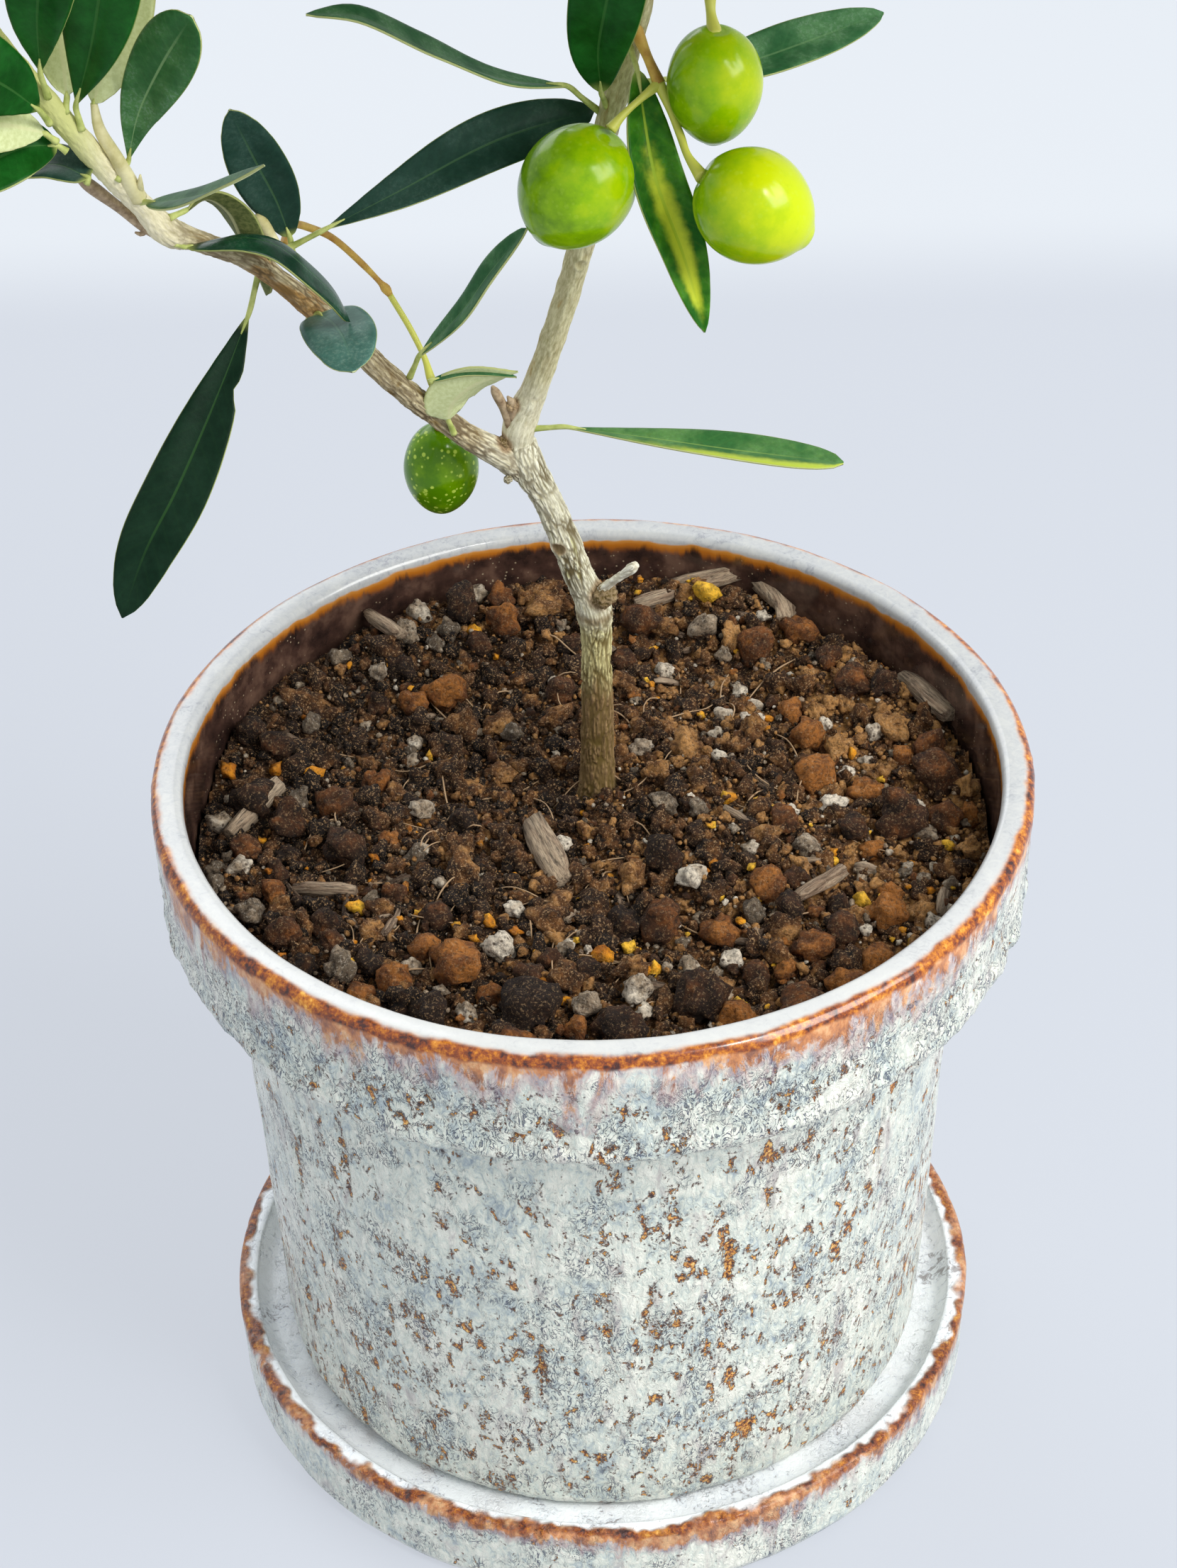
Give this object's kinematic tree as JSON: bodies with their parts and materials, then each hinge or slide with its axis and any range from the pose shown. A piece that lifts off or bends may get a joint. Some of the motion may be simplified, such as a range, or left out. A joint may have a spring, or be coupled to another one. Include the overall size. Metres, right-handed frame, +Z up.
{
  "type": "potted olive tree",
  "caption": "Young olive tree with a bent, forked stem, long left bough, sparse narrow leaves and green fruit, in a glazed stoneware pot with saucer.",
  "frame": {"origin": "centre of the saucer's flat underside, on the pot's axis", "axes": "+Z up along the pot's axis, -Y the front, +X to the right; the long bough reaches out to -X"},
  "size_m": [0.2151, 0.15, 0.4332],
  "materials": {
    "glaze": "gloss",
    "soil": "matte",
    "bark": "matte",
    "young_bark": "matte",
    "leaves": "satin"
  },
  "bodies": {
    "root": {"saucer": "glaze", "pot": "glaze", "soil": "soil", "trunk": "bark", "cut_stub": "bark", "leader": "young_bark", "left_bough": "bark", "bough_right": "young_bark", "bough_back": "young_bark", "bough_back_left": "young_bark", "bough_front": "young_bark", "bough_left": "young_bark", "bough_front_right": "young_bark", "bough_back_right": "young_bark", "foliage_hanging": "leaves", "foliage_left_inner": "leaves", "foliage_reaching": "leaves", "foliage_bough_back": "leaves", "foliage_bough_foot": "leaves", "foliage_bough_front": "leaves", "foliage_fork_right": "leaves", "foliage_leader_left": "leaves", "foliage_leader_front": "leaves", "foliage_leader_down": "leaves", "foliage_leader_right": "leaves", "foliage_left_outer": "leaves", "foliage_left_side": "leaves", "foliage_left_tip": "leaves", "crown_middle": "leaves", "crown_top": "leaves", "crown_right": "leaves", "crown_back": "leaves", "crown_back_left": "leaves", "crown_front": "leaves", "crown_left": "leaves", "crown_front_right": "leaves", "crown_back_right": "leaves"}
  },
  "joints": []
}
